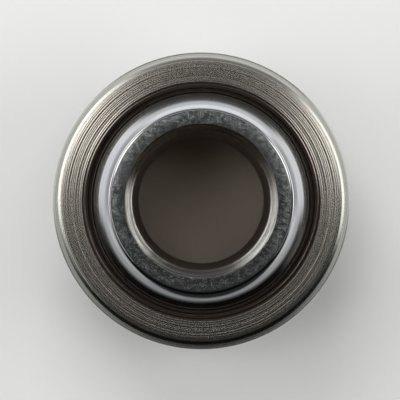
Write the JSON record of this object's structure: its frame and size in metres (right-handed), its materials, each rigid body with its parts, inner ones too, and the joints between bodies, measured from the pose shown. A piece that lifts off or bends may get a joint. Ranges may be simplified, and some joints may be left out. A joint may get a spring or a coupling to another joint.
{
  "type": "spherical plain bearing",
  "caption": "Radial spherical plain bearing: a chromed ball with a through bore swivels in a turned steel outer ring, on a dry sliding liner bonded in the ring's seat.",
  "frame": {"origin": "centre of the ball, halfway along the bore", "axes": "+Z along the bore axis; the part is the same both ways round; the modelled swivel turns about X"},
  "size_m": [0.022, 0.022, 0.012],
  "materials": {
    "turned_steel": "turned, with fine concentric marks",
    "sliding_layer": "dark, dry and matte",
    "hard_chrome": "polished ball, ground faces"
  },
  "bodies": {
    "inner_ring": {"inner_ring": "hard_chrome"},
    "outer_ring": {"outer_ring": "turned_steel", "sliding_liner": "sliding_layer"}
  },
  "joints": [
    {"name": "swivel", "type": "hinge", "parent": "inner_ring", "child": "outer_ring", "pos_m": [0, 0, 0], "axis": [1, 0, 0], "range_deg": [-18, 18]}
  ]
}
